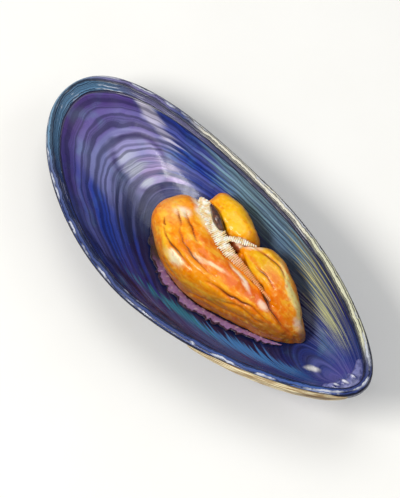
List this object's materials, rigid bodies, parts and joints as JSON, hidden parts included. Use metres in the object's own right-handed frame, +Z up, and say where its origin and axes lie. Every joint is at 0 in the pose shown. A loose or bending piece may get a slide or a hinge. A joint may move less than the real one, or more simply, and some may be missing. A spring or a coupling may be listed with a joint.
{
  "type": "steamed mussel on the half shell",
  "caption": "Boat-shaped blue mussel valve lying on its back, with cooked orange meat seated in its bowl and a ligament along its hinge edge.",
  "frame": {"origin": "middle of the footprint, on the surface that the shell rests on", "axes": "+X along the shell to its beak, +Y to the gape side and -Y to the hinge side, +Z up out of the open bowl"},
  "size_m": [0.0658, 0.0274, 0.0141],
  "materials": {
    "shell": "blue-black skin with growth lines outside, glossy lilac and deep blue nacre inside",
    "meat": "moist orange cooked flesh with paler creases",
    "ligament": "dull golden-brown strip"
  },
  "bodies": {
    "root": {"shell": "shell", "meat": "meat", "ligament": "ligament"}
  },
  "joints": []
}
